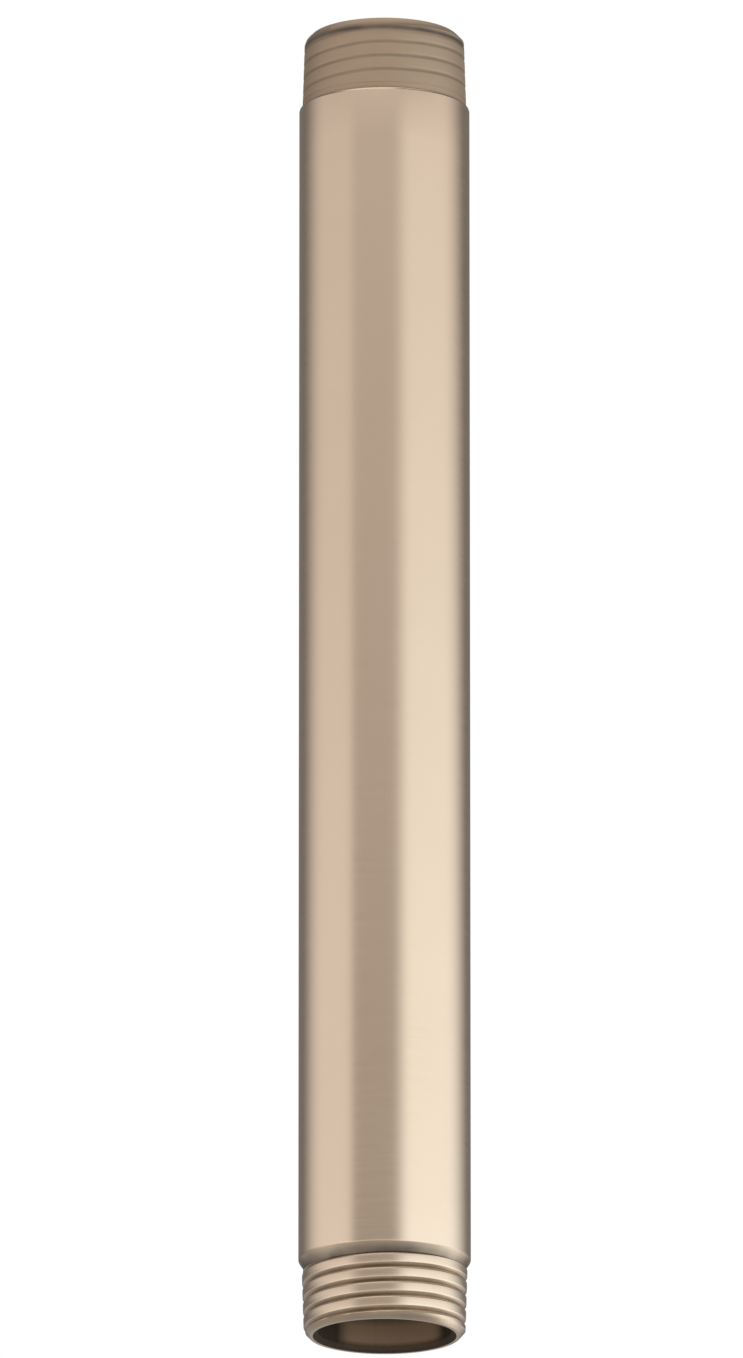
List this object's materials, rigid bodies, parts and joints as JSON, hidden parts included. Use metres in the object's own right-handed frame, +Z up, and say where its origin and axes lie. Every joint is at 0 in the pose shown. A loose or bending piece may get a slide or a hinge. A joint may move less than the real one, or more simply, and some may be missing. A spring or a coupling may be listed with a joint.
{
  "type": "shower arm",
  "caption": "Straight ceiling shower arm: a round brass tube with a right-handed tapered pipe thread at each end and an open waterway.",
  "frame": {"origin": "centre of the upper end face, where the arm screws into the ceiling fitting", "axes": "+Z up along the tube, out of the upper end; X and Y lie across the tube"},
  "size_m": [0.0214, 0.0214, 0.1676],
  "materials": {
    "bronze_finish": "pale champagne-bronze finish, finely brushed"
  },
  "bodies": {
    "root": {"shower_arm": "bronze_finish"}
  },
  "joints": []
}
